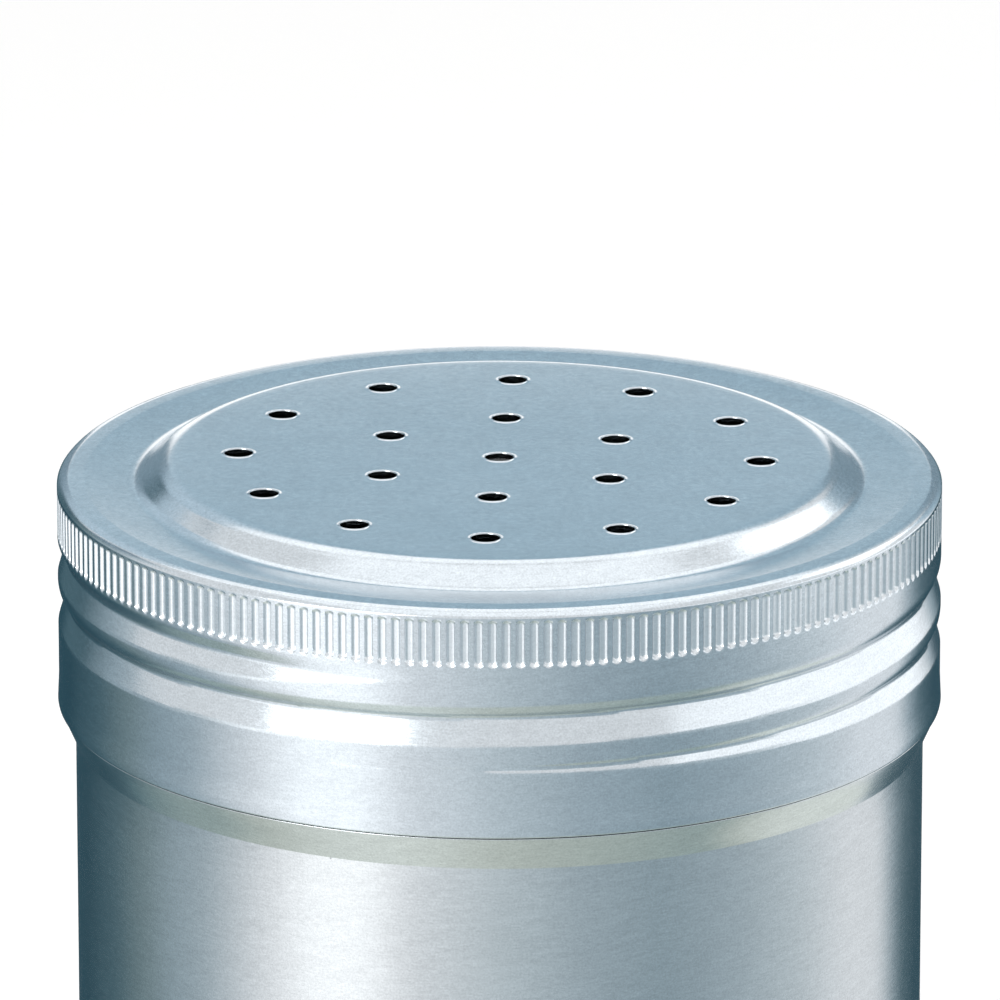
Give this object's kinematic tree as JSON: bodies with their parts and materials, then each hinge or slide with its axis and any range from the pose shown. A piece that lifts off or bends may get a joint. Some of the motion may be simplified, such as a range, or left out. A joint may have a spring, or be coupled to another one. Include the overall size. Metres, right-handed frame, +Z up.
{
  "type": "seasoning shaker",
  "caption": "Stainless steel seasoning shaker can with a knurled, perforated screw lid.",
  "frame": {"origin": "centre of the ring face that the can stands on", "axes": "+Z up along the axis of can and lid, -Y towards the viewer"},
  "size_m": [0.0652, 0.0652, 0.09],
  "materials": {
    "brushed_wall": "drawn stainless steel, brushed round the wall",
    "satin_lid": "pressed stainless steel, fine satin"
  },
  "bodies": {
    "can": {"can_body": "brushed_wall"},
    "lid": {"screw_lid": "satin_lid"}
  },
  "joints": [
    {"name": "lid_lift", "type": "slide", "parent": "can", "child": "lid", "axis": [0, 0, 1], "range_m": [0, 0.03]}
  ]
}
